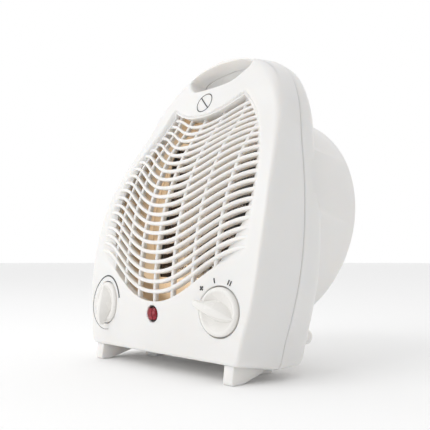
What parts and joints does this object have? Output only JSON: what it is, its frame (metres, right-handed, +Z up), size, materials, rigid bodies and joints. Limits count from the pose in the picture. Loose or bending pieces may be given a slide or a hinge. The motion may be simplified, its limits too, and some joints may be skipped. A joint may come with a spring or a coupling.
{
  "type": "fan convector heater",
  "caption": "Arch-shaped portable fan heater with a wavy louvred front, turning dials, a red lamp, a grip opening on top and a round fan drum behind.",
  "frame": {"origin": "middle of the base on the floor", "axes": "+Z up, -Y out of the louvred front, +X to the right seen from the front"},
  "size_m": [0.1888, 0.1442, 0.2426],
  "materials": {
    "white_plastic": "smooth satin moulding",
    "knob_plastic": "warm white gloss moulding",
    "cream_plastic": "heat-resistant cream, matt",
    "mica": "layered mica sheet",
    "black_plastic": "black moulding, satin",
    "lamp_red": "clear red lens",
    "grey_plastic": "grey moulding",
    "steel": "zinc-plated steel",
    "resistance_wire": "oxidised resistance alloy",
    "copper": "enamelled copper winding",
    "lamination": "stacked electrical steel"
  },
  "bodies": {
    "housing": {"front_shell": "white_plastic", "rear_shell": "white_plastic", "foot_left": "white_plastic", "foot_right": "white_plastic", "foot_rear": "white_plastic", "selector_switch": "black_plastic", "thermostat_body": "cream_plastic", "lamp_lens": "lamp_red", "lamp_body": "grey_plastic", "air_baffle": "cream_plastic", "heater_frame": "steel", "mica_strip_1": "mica", "mica_strip_2": "mica", "mica_strip_3": "mica", "heating_wire_front": "resistance_wire", "heating_wire_back": "resistance_wire", "thermal_cutout": "black_plastic", "thermal_fuse": "steel", "fan_shroud": "cream_plastic", "motor_stator": "lamination", "motor_coil": "copper", "bearing_strap_front": "steel", "bearing_strap_rear": "steel", "motor_bracket": "steel", "bracket_screw_1": "steel", "bracket_screw_2": "steel", "case_screw_1": "steel", "case_screw_2": "steel", "case_screw_3": "steel", "case_screw_4": "steel", "cable_gland": "white_plastic", "cord_clamp": "cream_plastic", "terminal_block": "cream_plastic"},
    "selector_dial": {"selector_knob": "knob_plastic", "selector_shaft": "grey_plastic"},
    "thermostat_dial": {"thermostat_knob": "knob_plastic", "thermostat_shaft": "grey_plastic"},
    "fan_rotor": {"fan_impeller": "black_plastic", "motor_shaft": "steel", "motor_rotor": "lamination"}
  },
  "joints": [
    {"name": "selector_turn", "type": "hinge", "parent": "housing", "child": "selector_dial", "pos_m": [0.0635, -0.06245, 0.04491], "axis": [-0.1094, 0.9927, -0.05], "range_deg": [0, 98]},
    {"name": "thermostat_turn", "type": "hinge", "parent": "housing", "child": "thermostat_dial", "pos_m": [-0.0635, -0.06245, 0.04491], "axis": [0.1094, 0.9927, -0.05], "range_deg": [0, 267]},
    {"name": "fan_spin", "type": "hinge", "parent": "housing", "child": "fan_rotor", "pos_m": [0, 0.03685, 0.1134], "axis": [0, 0.9848, -0.1736], "continuous": true}
  ]
}
